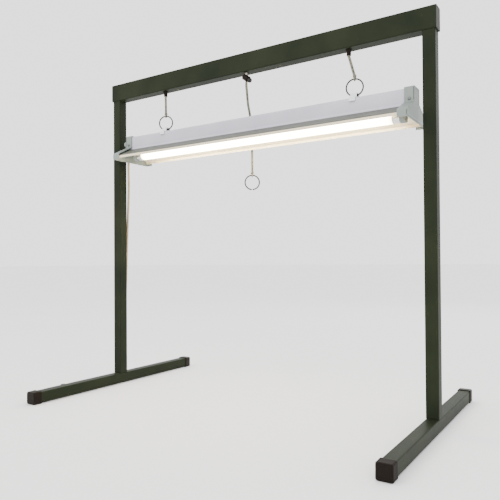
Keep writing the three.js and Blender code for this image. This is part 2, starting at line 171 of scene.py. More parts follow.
def brushed(name, dark, light, rough, stretch):
    """Metal with fine lines along one axis."""
    material, nodes, links, shader = new_material(name, metallic=1.0)
    coords = nodes.new("ShaderNodeTexCoord").outputs["Object"]
    mapping = nodes.new("ShaderNodeMapping")
    mapping.inputs["Scale"].default_value = stretch
    links.new(coords, mapping.inputs["Vector"])
    lines = noise_of(nodes, links, mapping.outputs["Vector"], 900, 3)
    colour = ramp_of(nodes, links, lines, [(0.3, dark), (0.7, light)])
    links.new(colour, shader.inputs["Base Color"])
    links.new(range_of(nodes, links, lines, 0.3, 0.7, *rough), shader.inputs["Roughness"])
    bump_of(nodes, links, lines, 0.00004, 0.3, shader)
    return material


STRANDS_ROUND = 6.0
STRAND_PITCH = 0.0034  # metres along the cord


def braided(name, pale, shade, fleck):
    """Round braid: two sets of strands that cross, one strand in a few in a darker yarn, with
    painted shade in the grooves between strands.
    """
    material, nodes, links, shader = new_material(name, roughness=0.85)
    uv = nodes.new("ShaderNodeSeparateXYZ")
    links.new(nodes.new("ShaderNodeTexCoord").outputs["UV"], uv.inputs["Vector"])
    turns = math_of(nodes, links, "MULTIPLY", uv.outputs["X"], STRANDS_ROUND)
    along = math_of(nodes, links, "MULTIPLY", uv.outputs["Y"], 1 / STRAND_PITCH)
    ways = [math_of(nodes, links, way, turns, along) for way in ("ADD", "SUBTRACT")]
    angles = [math_of(nodes, links, "MULTIPLY", way, 2 * math.pi) for way in ways]
    waves = [math_of(nodes, links, "SINE", angle) for angle in angles]
    height = math_of(nodes, links, "MAXIMUM", *waves)
    strands = nodes.new("ShaderNodeCombineXYZ")
    for socket, way in zip(("X", "Y"), ways):
        links.new(math_of(nodes, links, "FLOOR", way), strands.inputs[socket])
    chance = nodes.new("ShaderNodeTexWhiteNoise")
    links.new(strands.outputs["Vector"], chance.inputs["Vector"])
    one_in_five = [(0.0, (0, 0, 0)), (0.80, (0, 0, 0)), (0.81, (1, 1, 1))]
    dark_yarn = ramp_of(nodes, links, chance.outputs["Value"], one_in_five)
    # painted shade: the colour darkens from the strands' crowns down into the grooves between them
    crown = range_of(nodes, links, height, -0.4, 1.0, 0, 1)
    body = ramp_of(nodes, links, crown, [(0.0, shade), (0.6, pale)])
    mix = nodes.new("ShaderNodeMix")
    mix.data_type = "RGBA"
    factor, colour_a, colour_b = mix.inputs[0], mix.inputs[6], mix.inputs[7]
    colour_b.default_value = (*fleck, 1)
    links.new(dark_yarn, factor)
    links.new(body, colour_a)
    links.new(mix.outputs[2], shader.inputs["Base Color"])
    shader.inputs["Sheen Weight"].default_value = 0.3
    bump_of(nodes, links, height, 0.0004, 0.8, shader)
    return material


TUBE_GLOW = 24.0
GREY_END = 0.03  # metres at each end of the tube


def glowing(name):
    """Phosphor-coated glass: bright along its length, greyer close to each end."""
    material, nodes, links, shader = new_material(name, roughness=0.12)
    lo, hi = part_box("tube_glass")
    x = nodes.new("ShaderNodeSeparateXYZ")
    links.new(nodes.new("ShaderNodeTexCoord").outputs["Object"], x.inputs["Vector"])
    middle = (lo[0] + hi[0]) / 2
    half = (hi[0] - lo[0]) / 2
    offset = math_of(nodes, links, "SUBTRACT", x.outputs["X"], middle)
    away = math_of(nodes, links, "ABSOLUTE", offset)
    ends = range_of(nodes, links, away, half - GREY_END, half, 0, 1)
    stops = [(0.0, (1.0, 0.88, 0.66)), (0.7, (1.0, 0.82, 0.58)), (1.0, (0.45, 0.36, 0.26))]
    colour = ramp_of(nodes, links, ends, stops)
    links.new(colour, shader.inputs["Emission Color"])
    shader.inputs["Emission Strength"].default_value = TUBE_GLOW
    coating = noise_of(nodes, links, nodes.new("ShaderNodeTexCoord").outputs["Object"], 60, 2)
    powder = ramp_of(nodes, links, coating, [(0.3, (0.86, 0.86, 0.84)), (0.7, (0.92, 0.91, 0.88))])
    links.new(powder, shader.inputs["Base Color"])
    return material


# grained: dark and light colour, roughness range, grain, depth of its bump in metres
paint, paint_shader = grained(
    "frame_paint", (0.0115, 0.0150, 0.0085), (0.0180, 0.0225, 0.0115), (0.42, 0.54),
    1500, 0.00006, strength=0.35)
cap, cap_shader = grained(
    "cap_plastic", (0.0040, 0.0019, 0.0006), (0.0075, 0.0036, 0.0013), (0.48, 0.60),
    2600, 0.00010)
black, black_shader = grained(
    "black_plastic", (0.006, 0.005, 0.0045), (0.011, 0.009, 0.008), (0.38, 0.50),
    2200, 0.00008)
housing_paint, housing_shader = grained(
    "housing_paint", (0.44, 0.43, 0.50), (0.52, 0.51, 0.58), (0.26, 0.36),
    700, 0.00004, strength=0.25)
reflector_paint, reflector_shader = grained(
    "reflector_paint", (0.76, 0.66, 0.45), (0.82, 0.72, 0.51), (0.20, 0.28),
    600, 0.00003, strength=0.2)
# painted shade: a dark colour for the reflector's upward faces, standing in for the housing's shade
# on them
reflector_painted_shade, _ = grained(
    "reflector_painted_shade", (0.060, 0.062, 0.045), (0.085, 0.088, 0.066), (0.40, 0.52),
    900, 0.00005)
clip_plastic, _ = grained(
    "clip_plastic", (0.70, 0.71, 0.72), (0.78, 0.79, 0.80), (0.34, 0.46),
    1800, 0.00006)
white_plastic, _ = grained(
    "white_plastic", (0.16, 0.19, 0.172), (0.21, 0.24, 0.222), (0.38, 0.50),
    1800, 0.00006)
jacket, _ = grained(
    "mains_jacket", (0.30, 0.225, 0.130), (0.38, 0.290, 0.175), (0.36, 0.50),
    1200, 0.00005, patch=60)
inner_cord, _ = grained(
    "inner_cord", (0.40, 0.37, 0.30), (0.55, 0.52, 0.43), (0.80, 0.92),
    1600, 0.00030, patch=500)
# brushed: dark and light colour, roughness range, stretch of the lines along each axis
steel = brushed(
    "fastener_steel", (0.16, 0.17, 0.16), (0.27, 0.28, 0.27), (0.24, 0.42), (1, 1, 0.1))
nickel = brushed(
    "ring_wire", (0.018, 0.018, 0.014), (0.040, 0.039, 0.031), (0.22, 0.36), (0.3, 0.3, 1))
ferrule = brushed(
    "ferrule_metal", (0.62, 0.62, 0.61), (0.78, 0.78, 0.76), (0.22, 0.34), (0.1, 1, 1))
braid = braided("lift_cord", (0.21, 0.190, 0.130), (0.05, 0.046, 0.030), (0.07, 0.072, 0.045))
glass = glowing("tube_glass")
for shader, weight, rough in ((housing_shader, 0.3, 0.12), (reflector_shader, 0.4, 0.08)):
    shader.inputs["Coat Weight"].default_value = weight
    shader.inputs["Coat Roughness"].default_value = rough
for shader, level in ((paint_shader, 0.05), (cap_shader, 0.12), (black_shader, 0.25)):
    shader.inputs["Specular IOR Level"].default_value = level


# ---- mesh helpers, in millimetres ----
def bevel_edges(obj, width, angle):
    """Rounds the edges that turn by more than angle, in degrees."""
    modifier = obj.modifiers.new("bevel", "BEVEL")
    modifier.width = width * MM
    modifier.segments = 3
    modifier.limit_method = "ANGLE"
    modifier.angle_limit = math.radians(angle)
    return modifier


def piece(name, verts, faces, material, body, nodes=(), slot=None, uvs=None, bevel=0.0, sharp=32):
    """One piece. It rides on body unless that is None, and stands for the CAD nodes."""
    mesh = bpy.data.meshes.new(name)
    mesh.from_pydata([Vector(v) * MM for v in verts], [], faces)
    if uvs:
        layer = mesh.uv_layers.new(name="uv")
        for loop, uv in zip(layer.data, uvs):
            loop.uv = uv
    shape = bmesh.new()
    shape.from_mesh(mesh)
    bmesh.ops.recalc_face_normals(shape, faces=shape.faces)
    shape.to_mesh(mesh)
    shape.free()
    mesh.materials.append(material)
    mesh.shade_smooth()
    obj = bpy.data.objects.new(name, mesh)
    bpy.context.scene.collection.objects.link(obj)
    if bevel:
        bevel_edges(obj, bevel, 25).harden_normals = True
    else:
        mesh.set_sharp_from_angle(angle=math.radians(sharp))
    if body:
        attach(obj, body)
    if nodes:
        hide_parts(*nodes)
    return obj


def loft(rings, start=True, end=True):
    """Skin over closed rings of equal count, with a face over each end that is asked for."""
    count = len(rings[0])
    verts = [v for ring in rings for v in ring]
    faces = []
    for i in range(len(rings) - 1):
        for j in range(count):
            a, b = i * count + j, i * count + (j + 1) % count
            faces.append((a, b, b + count, a + count))
    if start:
        faces.append(tuple(reversed(range(count))))
    if end:
        faces.append(tuple((len(rings) - 1) * count + j for j in range(count)))
    return verts, faces


def together(*parts):
    """Several (verts, faces) as one."""
    verts, faces = [], []
    for more_verts, more_faces in parts:
        base = len(verts)
        verts.extend(more_verts)
        faces.extend(tuple(base + i for i in face) for face in more_faces)
    return verts, faces


def placed(part, matrix):
    """(verts, faces) moved by the matrix."""
    verts, faces = part
    return [matrix @ Vector(v) for v in verts], faces


def turned(profile, sides=32, shape=None):
    """A profile [(radius, z)] turned round Z, closed at both ends.

    shape(angle, i) can change each radius."""
    rings = []
    for i, (radius, z) in enumerate(profile):
        ring = []
        for j in range(sides):
            angle = 2 * math.pi * j / sides
            r = max(radius, 0.01) * (shape(angle, i) if shape else 1)
            ring.append(Vector((r * math.cos(angle), r * math.sin(angle), z)))
        rings.append(ring)
    return loft(rings)


def rounded_box(width, height, radius, steps=6):
    """Outline of a rectangle with round corners, about its middle."""
    points = []
    for sx, sy, start in ((1, -1, -90), (1, 1, 0), (-1, 1, 90), (-1, -1, 180)):
        for i in range(steps + 1):
            angle = math.radians(start + 90 * i / steps)
            points.append((sx * (width / 2 - radius) + radius * math.cos(angle),
                           sy * (height / 2 - radius) + radius * math.sin(angle)))
    return points


def filleted(line, radius, steps=5, closed=False):
    """A line of 2-D points with its corners rounded; an open line keeps its two end points."""
    count = len(line)
    result = []
    for i, point in enumerate(line):
        if not closed and i in (0, count - 1):
            result.append(Vector(point))
            continue
        here = Vector(point)
        before = Vector(line[i - 1]) - here
        after = Vector(line[(i + 1) % count]) - here
        reach = min(radius, before.length * 0.45, after.length * 0.45)
        a = here + before.normalized() * reach
        b = here + after.normalized() * reach
        for k in range(steps + 1):
            t = k / steps
            result.append(a * (1 - t) ** 2 + here * 2 * t * (1 - t) + b * t * t)
    return result


def strip(line, thickness):
    """An open line of 2-D points as a band of one thickness."""
    sides = [[], []]
    for i, point in enumerate(line):
        a = point - line[i - 1] if i else line[1] - point
        b = line[i + 1] - point if i < len(line) - 1 else a
        a, b = a.normalized(), b.normalized()
        mitre = Vector((-a.y - b.y, a.x + b.x)).normalized()
        reach = thickness / 2 / max(mitre.dot(Vector((-a.y, a.x))), 0.4)
        sides[0].append(point - mitre * reach)
        sides[1].append(point + mitre * reach)
    return sides[0] + sides[1][::-1]


def mirrored(half):
    """An outline [(y, z)] carried on through its mirror image in y."""
    return half + [(-y, z) for y, z in reversed(half)]


def along_x(outline, x0, x1):
    """A prism of the outline [(y, z)] between two values of x."""
    return loft([[Vector((x, p[0], p[1])) for p in outline] for x in (x0, x1)])


def smooth_path(points, step):
    """Centripetal Catmull-Rom curve through the points, as even steps."""
    pts = [Vector(p) for p in points]
    pts = [pts[0] * 2 - pts[1]] + pts + [pts[-1] * 2 - pts[-2]]
    result = []
    for p0, p1, p2, p3 in zip(pts, pts[1:], pts[2:], pts[3:]):
        t1 = (p1 - p0).length ** 0.5
        t2 = t1 + (p2 - p1).length ** 0.5
        t3 = t2 + (p3 - p2).length ** 0.5
        count = max(int((p2 - p1).length / step), 2)
        for k in range(count):
            t = t1 + (t2 - t1) * k / count
            a1 = p0 * ((t1 - t) / t1) + p1 * (t / t1)
            a2 = p1 * ((t2 - t) / (t2 - t1)) + p2 * ((t - t1) / (t2 - t1))
            a3 = p2 * ((t3 - t) / (t3 - t2)) + p3 * ((t - t2) / (t3 - t2))
            b1 = a1 * ((t2 - t) / t2) + a2 * (t / t2)
            b2 = a2 * ((t3 - t) / (t3 - t1)) + a3 * ((t - t1) / (t3 - t1))
            result.append(b1 * ((t2 - t) / (t2 - t1)) + b2 * ((t - t1) / (t2 - t1)))
    result.append(pts[-2])
    return result


def sweep(path, radius, sides=16, round_ends=False):
    """A round cord along the path: (verts, faces, uvs). u goes round, v is metres along."""
    last = len(path) - 1
    tangents = [(path[min(i + 1, last)] - path[max(i - 1, 0)]).normalized()
                for i in range(last + 1)]
    across = tangents[0].orthogonal().normalized()
    rings, lengths, along = [], [], 0.0
    for i, (point, tangent) in enumerate(zip(path, tangents)):
        if i:
            across = tangents[i - 1].rotation_difference(tangent) @ across
            along += (point - path[i - 1]).length
        across = (across - tangent * across.dot(tangent)).normalized()
        other = tangent.cross(across)
        angles = [2 * math.pi * j / sides for j in range(sides)]
        shrink, shift = [1.0], [0.0]
        if round_ends and i == 0:
            shrink, shift = [0.35, 0.75, 1.0], [-0.9 * radius, -0.6 * radius, 0.0]
        if round_ends and i == last:
            shrink, shift = [1.0, 0.75, 0.35], [0.0, 0.6 * radius, 0.9 * radius]
        for scale, offset in zip(shrink, shift):
            rings.append([
                point + tangent * offset
                + (across * math.cos(a) + other * math.sin(a)) * radius * scale
                for a in angles])
            lengths.append((along + offset) * MM)
    verts, faces = loft(rings)
    uvs = []
    for i in range(len(rings) - 1):
        for j in range(sides):
            u0, u1, v0, v1 = j / sides, (j + 1) / sides, lengths[i], lengths[i + 1]
            uvs.extend([(u0, v0), (u1, v0), (u1, v1), (u0, v1)])
    uvs.extend([(0.5, lengths[0])] * sides + [(0.5, lengths[-1])] * sides)
    return verts, faces, uvs


def turn_to(axis, origin):
    """Takes the Z axis to the given axis, and the origin to the given point."""
    rotation = Vector((0, 0, 1)).rotation_difference(Vector(axis)).to_matrix().to_4x4()
    return Matrix.Translation(origin) @ rotation


# ---- mains cord: routes in metres, as in the CAD source; the hank's sizes in millimetres ----
MAINS_R = 2.3
HANK_X, HANK_FRONT, HANK_BACK = -358.6, -148, -68
OUTER, INNER = 18.8, 14.1  # fold radii
LOW, HIGH = 2.5, 7.1       # heights of the two layers
MAINS_ROUTE = [
    (-0.3035, 0.003, 0.474), (-0.3035, 0.003, 0.462), (-0.305, 0.0045, 0.445),
    (-0.3095, 0.0095, 0.420), (-0.316, 0.015, 0.385), (-0.322, 0.0185, 0.340),
    (-0.327, 0.0205, 0.280), (-0.331, 0.0218, 0.210), (-0.335, 0.0225, 0.150),
    (-0.3385, 0.0232, 0.100), (-0.341, 0.0228, 0.062), (-0.3418, 0.0185, 0.036),
    (-0.3418, 0.008, 0.015), (-0.3414, -0.008, 0.005), (-0.3406, -0.026, 0.0027),
    (-0.3398, -0.0545, 0.0025),
]
TAIL_ROUTE = [
    (-0.3774, -0.0546, 0.0071), (-0.3774, -0.044, 0.0064), (-0.3766, -0.030, 0.0042),
    (-0.3748, -0.014, 0.0027), (-0.369, 0.006, 0.0025), (-0.361, 0.026, 0.0026),
    (-0.355, 0.044, 0.0038), (-0.352, 0.058, 0.006), (-0.352, 0.066, 0.0069),
]


def ease(value, start, end):
    """A smooth step from 0 at start to 1 at end."""
    t = min(max((value - start) / (end - start), 0), 1)
    return t * t * (3 - 2 * t)


def hank_points():
    """Four rounds of the hank: each runs forward, folds, runs back and folds again."""
    folds = [
        lambda t: (OUTER + (INNER - OUTER) * ease(t, 0.55, 1.0), LOW),
        lambda t: (INNER, LOW + (HIGH - LOW) * ease(t, 0.2, 0.6)),
        lambda t: (INNER + (OUTER - INNER) * ease(t, 0.0, 0.35), HIGH),
    ]
    rounds = [(OUTER, LOW), (INNER, LOW), (INNER, HIGH), (OUTER, HIGH)]
    points = []
    for i, (reach, height) in enumerate(rounds):
        for y in ((-80, -114) if i == 0 else (-68, -90, -114)):
            points.append((HANK_X + reach, y, height))
        for k in range(13):
            angle = -math.pi * k / 12
            points.append((HANK_X + reach * math.cos(angle),
                           HANK_FRONT + reach * math.sin(angle), height))
        for y in (-120, -90):
            points.append((HANK_X - reach, y, height))
        if i < 3:
            for k in range(12):
                t = k / 12
                r, z = folds[i](t)
                angle = math.pi * (1 - t)
                points.append((HANK_X + r * math.cos(angle), HANK_BACK + r * math.sin(angle), z))
    return points


def in_mm(route):
    return [Vector(p) / MM for p in route]


PATH_STEP = 3.0
mains_path = smooth_path(in_mm(MAINS_ROUTE) + hank_points() + in_mm(TAIL_ROUTE), PATH_STEP)
verts, faces, uvs = sweep(mains_path, MAINS_R, 14)
mains = piece("mains_lead", verts, faces, jacket, None,
              ("mains_cord", "mains_cord_hank", "mains_cord_tail"), "mains_jacket", uvs, sharp=60)

# plug: neck with rings, a body with round edges, two blades with tapered tips
PLUG_Y = 66.3
PLUG_WIDTH, PLUG_HEIGHT, PLUG_CORNER = 24, 13.6, 4.0
BLADE_X, BLADE_HALF = 6.35, 0.75
plug_x, _, plug_z = TAIL_ROUTE[-1]
plug_at = (Matrix.Translation(Vector((plug_x / MM, PLUG_Y, plug_z / MM)))
           @ Matrix.Rotation(-math.pi / 2, 4, "X"))
neck = [(2.35, 0), (2.9, 0.2)]
for k in range(5):
    base, z = 3.0 + 0.42 * k, 2.6 * k
    neck += [(base, 1.2 + z), (base + 0.1, 2.6 + z), (base - 0.45, 2.8 + z), (base - 0.45, 3.4 + z)]
neck += [(5.2, 15.4)]
body_rings = []
for z, inset in ((14, 2.2), (14.5, 1.0), (16, 0.25), (19, 0.0), (24, 0.5), (31, 0.7),
                 (38, 0.3), (41, 0.0), (43, 0.25), (43.8, 0.8), (44, 1.6)):
    section = rounded_box(PLUG_WIDTH - 2 * inset, PLUG_HEIGHT - 2 * inset, PLUG_CORNER - inset)
    body_rings.append([Vector((x, y, z)) for x, y in section])
plug = piece("plug_body", *placed(together(turned(neck, 28), loft(body_rings)), plug_at),
             black, "stand", ("mains_plug",), "black_plastic")
blade_outline = [(-3.2, 43.5), (3.2, 43.5), (3.2, 58.0), (1.8, 59.9), (-1.8, 59.9), (-3.2, 58.0)]
blades = []
for x in (-BLADE_X, BLADE_X):
    blades.append(loft([[Vector((x + side, y, z)) for y, z in blade_outline]
                        for side in (-BLADE_HALF, BLADE_HALF)]))
blade = piece("plug_blades", *placed(together(*blades), plug_at), steel, "stand",
              slot="fastener_steel", bevel=0.2)

# hook-and-loop tie round the hank
band = OUTER + MAINS_R + 0.1
tie_outline = [(x, z + 5.46) for x, z in rounded_box(2 * band + 2.2, 10.86, 4.2)]
tie_inside = [(x, z + 4.9) for x, z in rounded_box(2 * band, 9.42, 3.6)]
TIE_FRONT, TIE_BACK = -110.9, -105.1
tie_rings = []
for y, outline in ((TIE_FRONT, tie_inside), (TIE_FRONT, tie_outline),
                   (TIE_BACK, tie_outline), (TIE_BACK, tie_inside)):
    tie_rings.append([Vector((HANK_X + x, y, z)) for x, z in outline])
tie_rings.append(tie_rings[0])
tie = piece("tie_strap", *loft(tie_rings, start=False, end=False), black, "stand",
            ("cord_tie",), "black_plastic")

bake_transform(mains)

# ---- lift cords and pull cord ----
CORD_R = 2.2
RING_R, RING_WIRE = 13.7, 2.4
SNOUT_END = 585.7
RING_TURN = {"hanger_ring_left": 22, "hanger_ring_right": 10, "pull_ring": 32}  # degrees about Z
WRAP_TURNS, WRAP_OFFSET, WRAP_R = 2.4, 1.45, 1.5
LOOP_OFFSET, LOOP_R = 2.5, 1.15
KNOT_HEIGHT, KNOT_GAP = 3.0, 0.3
KNOT_RISE = KNOT_HEIGHT + KNOT_GAP  # from the top of the ring to the end of the cord


def knot(name, at, ring, body):
    """Wraps over the cord's end, and a loop round the ring's wire, across the ring's plane."""
    x, y, z = at
    turn = math.radians(RING_TURN[ring])
    plane = Vector((-math.sin(turn), math.cos(turn), 0))
    wraps = []
    for k in range(41):
        a = WRAP_TURNS * 2 * math.pi * k / 40
        wraps.append(Vector((x + WRAP_OFFSET * math.cos(a), y + WRAP_OFFSET * math.sin(a),
                             z - KNOT_HEIGHT / 2 + KNOT_HEIGHT * k / 40)))
    wrap_verts, wrap_faces, wrap_uvs = sweep(wraps, WRAP_R, 12, round_ends=True)
    centre_z = z - KNOT_HEIGHT - KNOT_GAP - RING_WIRE / 2
    loop = []
    for k in range(33):
        a = math.pi / 2 + 2 * math.pi * k / 32
        loop.append(Vector((x, y, centre_z)) + plane * (LOOP_OFFSET * math.cos(a))
                    + Vector((0, 0, LOOP_OFFSET * math.sin(a))))
    loop_verts, loop_faces, loop_uvs = sweep(loop, LOOP_R, 12)
    verts, faces = together((wrap_verts, wrap_faces), (loop_verts, loop_faces))
    return piece(name, verts, faces, braid, body,
                 slot="lift_cord", uvs=wrap_uvs + loop_uvs, sharp=70)


for side, _ in SIDES:
    top_x = centre(f"cord_grommet_{side}").x
    ring = centre(f"hanger_ring_{side}")
    start = Vector((top_x, 0, SNOUT_END - 0.6))
    end = Vector((ring.x, 0, top_of(f"hanger_ring_{side}") + KNOT_RISE))
    path = [start.lerp(end, k / 16) for k in range(17)]
    verts, faces, uvs = sweep(path, CORD_R, 20)
    cord = piece(f"lift_line_{side}", verts, faces, braid, None,
                 (f"lift_cord_{side}",), "lift_cord", uvs, sharp=70)
    tied = knot(f"lift_knot_{side}", end, f"hanger_ring_{side}", "lamp")
    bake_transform(cord)

pull = centre("pull_ring")
PULL_ROUTE = [  # metres
    (0, -0.004, 0.5772), (0, -0.004, 0.572), (-0.002, 0.001, 0.562),
    (-0.009, 0.015, 0.545), (-0.018, 0.036, 0.528), (-0.025, 0.051, 0.512),
]
pull_points = in_mm(PULL_ROUTE)
pull_points += [Vector((pull.x, pull.y, z)) for z in (492, 455, top_of("pull_ring") + KNOT_RISE)]
pull_path = smooth_path(pull_points, PATH_STEP)
verts, faces, uvs = sweep(pull_path, CORD_R, 20)
pull_line = piece("pull_line", verts, faces, braid, None,
                  ("pull_cord",), "lift_cord", uvs, sharp=70)
pull_knot = knot("pull_knot", pull_points[-1], "pull_ring", "pull_ring")
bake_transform(pull_line)

# ---- split rings: the wire starts and stops beside a gap at the bottom ----
WIRE_START, WIRE_SWEEP = -83, 346  # degrees
for name, turn in RING_TURN.items():
    middle = centre(name)
    middle.z = top_of(name) - RING_WIRE / 2 - RING_R
    plane = Vector((math.cos(math.radians(turn)), math.sin(math.radians(turn)), 0))
    path = []
    for k in range(97):
        a = math.radians(WIRE_START + WIRE_SWEEP * k / 96)
        path.append(middle + plane * (RING_R * math.cos(a)) + Vector((0, 0, RING_R * math.sin(a))))
    verts, faces, uvs = sweep(path, RING_WIRE / 2, 16, round_ends=True)
    body = "pull_ring" if name == "pull_ring" else "lamp"
    piece(name + "_wire", verts, faces, nickel, body, (name,), "ring_wire", uvs, sharp=70)

# ---- grommets and cord lock ----
GROMMET_TOP, FLANGE_TOP = 598.4, 595.2
GROMMET_R, FLANGE_R, BORE_R = 4.2, 5.1, 2.7
GROMMET_SIDES = 36
for side in ("left", "right", "centre"):
    name = f"cord_grommet_{side}"
    middle = centre(name)
    outer = [(GROMMET_R, GROMMET_TOP), (GROMMET_R, FLANGE_TOP), (FLANGE_R - 0.3, FLANGE_TOP)]
    if side == "centre":
        outer += [(FLANGE_R, 594.9), (FLANGE_R - 0.3, 594.4)]
        bore = [(3.3, 594.4), (2.8, 595.0), (BORE_R, GROMMET_TOP)]
    else:
        outer += [(FLANGE_R, 594.7), (FLANGE_R - 0.4, 594.1), (4.3, 593.4), (3.75, 592.2),
                  (3.55, 589.0), (3.5, SNOUT_END + 0.6), (3.2, SNOUT_END)]
        bore = [(2.85, SNOUT_END), (BORE_R, SNOUT_END + 0.5), (BORE_R, GROMMET_TOP)]
    verts, faces = turned(outer + bore, GROMMET_SIDES)
    # the two end faces give way to a band that joins the bore to the outside
    last = GROMMET_SIDES * (len(outer + bore) - 1)
    closing = [(i, (i + 1) % GROMMET_SIDES) for i in range(GROMMET_SIDES)]
    faces = faces[:-2] + [(a, b, last + b, last + a) for a, b in closing]
    at = Matrix.Translation((middle.x, middle.y, 0))
    piece(name + "_ring", *placed((verts, faces), at), cap, "stand", (name,), "cap_plastic")

LOCK = Vector((0, -4, 585.6))
lock_axis = Vector((0.8, 0, -0.6))
lock_at = turn_to(lock_axis, LOCK)


def ribs(count, depth, rows):
    """Radius change for a gripping surface: shallow flutes on the given rows of a profile."""
    def shape(angle, row):
        return 1 - depth * (0.5 + 0.5 * math.cos(count * angle)) if row in rows else 1
    return shape


barrel = turned([
    (0, -6), (4.3, -6), (5.1, -5.7), (5.5, -5.0), (5.5, -4.0), (5.28, -3.6), (5.28, 3.8),
    (5.5, 4.2), (5.5, 5.5), (5.3, 5.9), (4.9, 6.0), (4.5, 5.8), (4.5, -4.4), (0, -4.6),
], 48, ribs(16, 0.035, (5, 6)))
piece("lock_barrel", *placed(barrel, lock_at), cap, "stand", ("cord_lock_barrel",), "cap_plastic")
button = turned([
    (0, -1), (4.0, -1), (4.1, -0.8), (4.1, 9.8), (3.95, 10.8), (3.4, 11.5), (2.4, 11.8),
    (1.8, 11.62), (0, 11.5),
], 40)
piece("lock_button_cap", *placed(button, lock_at), black, "lock_button",
      ("cord_lock_button",), "black_plastic")

# ---- foot caps ----
CAP_SIDE, TUBE = 22.5, 19.5
TIP = 219.0
MOUTH = TIP - 16.5
FOOT_CAP = [  # place along the foot, width, corner radius: inside the cap, its mouth, its tip
    (TIP - 2.0, TUBE + 0.6, 1.8), (MOUTH, TUBE + 0.6, 1.8),
    (MOUTH, CAP_SIDE - 0.7, 2.3), (MOUTH + 0.35, CAP_SIDE - 0.1, 2.5),
    (MOUTH + 0.8, CAP_SIDE, 2.6), (MOUTH + 2.2, CAP_SIDE, 2.6),
    (MOUTH + 2.6, CAP_SIDE - 0.3, 2.5), (TIP - 1.8, CAP_SIDE - 0.4, 2.6),
    (TIP - 0.9, CAP_SIDE - 0.9, 2.7), (TIP - 0.25, CAP_SIDE - 2.0, 2.8),
    (TIP, CAP_SIDE - 3.6, 2.6), (TIP, CAP_SIDE - 6.0, 2.2), (TIP - 0.35, CAP_SIDE - 6.8, 2.0),
]
for side, _ in SIDES:
    for end, way in (("front", -1), ("back", 1)):
        name = f"foot_cap_{side}_{end}"
        middle = centre(name)
        rings = [[Vector((middle.x + x, way * y, CAP_SIDE / 2 + z))
                  for x, z in rounded_box(width, width, radius)]
                 for y, width, radius in FOOT_CAP]
        piece(name + "_shell", *loft(rings), cap, "stand", (name,), "cap_plastic")

# ---- lamp housing, reflector, end caps, clips ----
LAMP_X = centre("lamp_housing").x
housing_half = [(11.9, 487.1), (11.9, 488.0), (10.5, 490.2), (10.5, 512.0), (9.0, 513.5)]
housing_reach = half_length("lamp_housing")
shell = strip(filleted(mirrored(housing_half), 1.6), 1.0)
piece("housing_shell", *along_x(shell, LAMP_X - housing_reach, LAMP_X + housing_reach),
      housing_paint, "lamp", ("lamp_housing",), "housing_paint", bevel=0.15)

sheet_half = [(43.6, 466.1), (46.0, 466.1), (46.0, 470.7), (14.0, 486.25)]
sheet_reach = half_length("reflector")
crease = [(0.01, 486.25)]
sheet = strip(filleted(sheet_half + crease + [(-y, z) for y, z in reversed(sheet_half)], 2.6), 0.9)
reflector = piece("reflector_sheet", *along_x(sheet, LAMP_X - sheet_reach, LAMP_X + sheet_reach),
                  reflector_paint, "lamp", ("reflector",), "reflector_paint", bevel=0.12)
reflector.data.materials.append(reflector_painted_shade)
PAINTED_SHADE_FROM = 0.4665  # metres; faces above it that look upwards take painted shade, a dark colour for the housing's shade on the reflector's top
for face in reflector.data.polygons:
    if face.normal.z > 0.3 and face.center.z > PAINTED_SHADE_FROM:
        face.material_index = 1

CAP_Y, CAP_BOTTOM, CAP_W, CAP_TOP = 48.6, 462, 12.8, 515.8


def cap_outline(inset):
    """House-shaped outline of the end cap, moved in by inset, its corners rounded."""
    line = [(CAP_Y - inset, CAP_BOTTOM + inset), (CAP_Y - inset, 473.6 - 0.4 * inset),
            (CAP_W - inset, 492 - 0.4 * inset), (CAP_W - inset, CAP_TOP - inset)]
    return filleted(mirrored(line), 2.0, closed=True)


for side, way in SIDES:
    name = f"lamp_end_cap_{side}"
    lo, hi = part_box(name)
    end = (hi[0] if way > 0 else lo[0]) / MM
    mouth = (lo[0] if way > 0 else hi[0]) / MM
    plate = []
    for depth, inset in ((1.9, 0.0), (1.2, 0.0), (0.6, 0.18), (0.2, 0.5), (0.0, 1.1), (0.0, 3.2),
                         (0.25, 3.6), (0.25, 5.0)):
        plate.append([Vector((end - way * depth, y, z)) for y, z in cap_outline(inset)])
    line = [(CAP_Y - 0.75, CAP_BOTTOM), (CAP_Y - 0.75, 473.2),
            (CAP_W - 0.75, 491.6), (CAP_W - 0.75, CAP_TOP - 0.75)]
    wall = strip(filleted(mirrored(line), 2.0), 1.5)
    sides = along_x(wall, mouth, end - way * 1.0)
    piece(name + "_shell", *together(loft(plate), sides), white_plastic, "lamp",
          (name,), "white_plastic")

CLIP_REACH = 5.5  # half of a clip's width along X
clip_half = [(13.65, 508.2), (11.85, 508.65), (11.85, 513.35), (10.35, 514.85), (6.4, 514.85),
             (4.6, 521.45), (3.2, 522.55)]
for side, _ in SIDES:
    name = f"hanger_clip_{side}"
    middle = centre(name)
    outline = strip(filleted(mirrored(clip_half), 1.2), 1.1)
    piece(name + "_strap", *along_x(outline, middle.x - CLIP_REACH, middle.x + CLIP_REACH),
          clip_plastic, "lamp", (name,), "white_plastic", bevel=0.25)

# ---- screws with a cross recess ----
def screw_head(radius, height):
    """Pan head whose middle rows dip along two crossed slots."""
    rows = [(radius * 0.98, 0, 0), (radius, height * 0.25, 0), (radius * 0.94, height * 0.6, 0),
            (radius * 0.78, height * 0.88, 0), (radius * 0.60, height * 0.98, 0),
            (radius * 0.56, height * 0.98, 1), (radius * 0.3, height, 1), (radius * 0.1, height, 1)]
    rings = []
    for r, z, slotted in rows:
        ring = []
        for j in range(48):
            angle = 2 * math.pi * j / 48
            near = abs((angle + math.pi / 4) % (math.pi / 2) - math.pi / 4) * r
            dip = height * 0.55 if slotted and near < radius * 0.13 else 0
            ring.append(Vector((r * math.cos(angle), r * math.sin(angle), z - dip)))
        rings.append(ring)
    return loft(rings)


